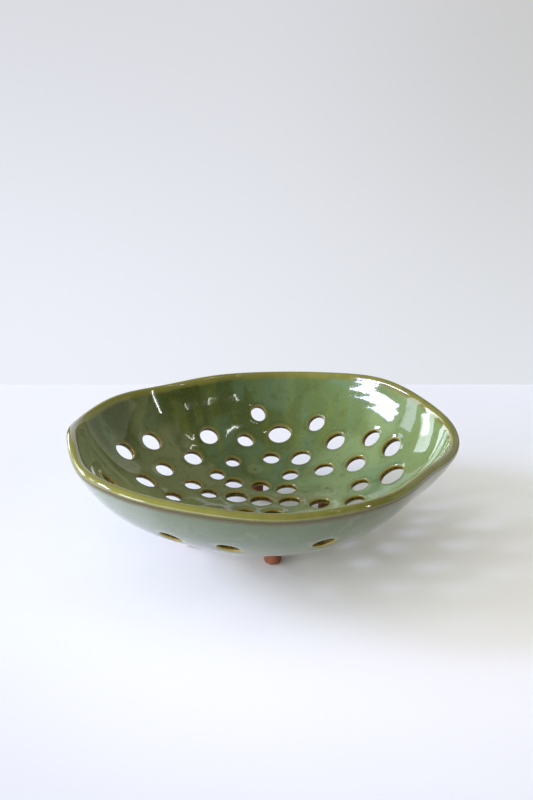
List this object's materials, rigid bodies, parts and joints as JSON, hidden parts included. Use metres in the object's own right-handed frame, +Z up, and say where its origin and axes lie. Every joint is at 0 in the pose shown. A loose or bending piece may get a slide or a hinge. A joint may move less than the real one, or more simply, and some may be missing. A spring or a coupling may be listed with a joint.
{
  "type": "berry colander bowl",
  "caption": "Shallow hand-shaped ceramic colander bowl with a wavy round lip, punched drain holes and small clay feet.",
  "frame": {"origin": "on the table under the middle of the bowl's plan", "axes": "+Z up; the front of the bowl faces -Y and +X is to the right when seen from the front"},
  "size_m": [0.1962, 0.2024, 0.0604],
  "materials": {
    "glaze": "glossy green glaze that breaks to golden brown on the lip and the hole edges",
    "bare_clay": "unglazed fired clay, matt reddish brown"
  },
  "bodies": {
    "root": {"bowl": "glaze", "foot_front": "bare_clay", "foot_right": "bare_clay", "foot_back": "bare_clay", "foot_left": "bare_clay"}
  },
  "joints": []
}
